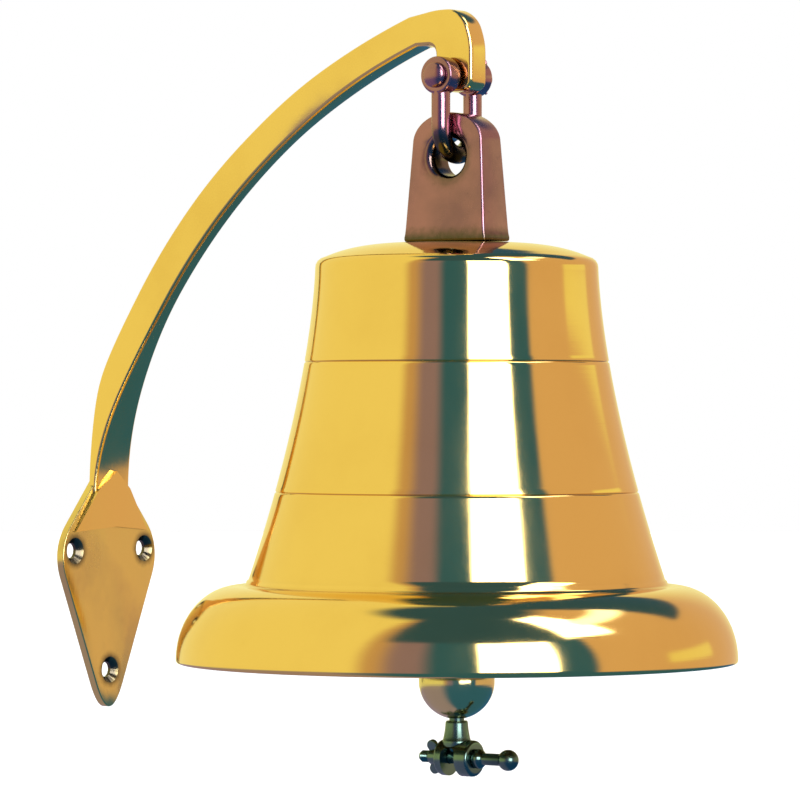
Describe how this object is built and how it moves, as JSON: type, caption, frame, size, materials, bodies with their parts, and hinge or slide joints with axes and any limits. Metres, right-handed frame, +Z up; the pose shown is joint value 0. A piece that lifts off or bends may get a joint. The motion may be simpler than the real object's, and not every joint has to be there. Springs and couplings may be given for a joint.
{
  "type": "ship's bell",
  "caption": "Wall-mounted ship's bell: a bell with a bulging rim hangs by a shackle from a curved bracket arm on a kite-shaped plate, with a ball clapper and a fork for its rope.",
  "frame": {"origin": "on the wall plate's back face, midway between its two upper screw holes", "axes": "+X out of the wall, +Z up, +Y along the wall"},
  "size_m": [0.391, 0.3, 0.4091],
  "materials": {
    "polished_brass": "polished",
    "plate_brass": "satin",
    "dark_brass": "polished, toned brown",
    "fitting_brass": "turned"
  },
  "bodies": {
    "bracket": {"wall_plate": "plate_brass", "bracket_arm": "polished_brass", "foot_rivet_upper": "fitting_brass", "foot_rivet_lower": "fitting_brass"},
    "hanger": {"hanger_shackle": "dark_brass", "shackle_pin": "dark_brass", "shackle_washer": "dark_brass", "shackle_split_pin": "dark_brass"},
    "bell": {"headstock": "dark_brass", "bell_body": "polished_brass", "crown_washer": "fitting_brass", "crown_nut": "fitting_brass", "clapper_yoke": "fitting_brass", "pivot_pin": "fitting_brass", "pivot_split_pin": "fitting_brass"},
    "clapper": {"clapper_rod": "fitting_brass", "clapper_ball": "polished_brass", "rope_fork": "polished_brass"},
    "rope_pin": {"lanyard_pin": "polished_brass"},
    "rope_nut": {"wing_nut": "polished_brass"}
  },
  "joints": [
    {"name": "hanger_swing", "type": "hinge", "parent": "bracket", "child": "hanger", "pos_m": [0.241, 0, 0.2565], "axis": [0, -1, 0], "range_deg": [-6, 30]},
    {"name": "bell_swing", "type": "hinge", "parent": "hanger", "child": "bell", "pos_m": [0.241, 0, 0.215], "axis": [0, -1, 0], "range_deg": [-10, 20]},
    {"name": "clapper_swing", "type": "hinge", "parent": "bell", "child": "clapper", "pos_m": [0.241, 0, 0.125], "axis": [1, 0, 0], "range_deg": [-30, 30]},
    {"name": "rope_pin_turn", "type": "hinge", "parent": "clapper", "child": "rope_pin", "pos_m": [0.241, 0, -0.107], "axis": [1, 0, 0], "continuous": true},
    {"name": "wing_nut_turn", "type": "hinge", "parent": "rope_pin", "child": "rope_nut", "pos_m": [0.241, 0, -0.107], "axis": [1, 0, 0], "continuous": true}
  ]
}
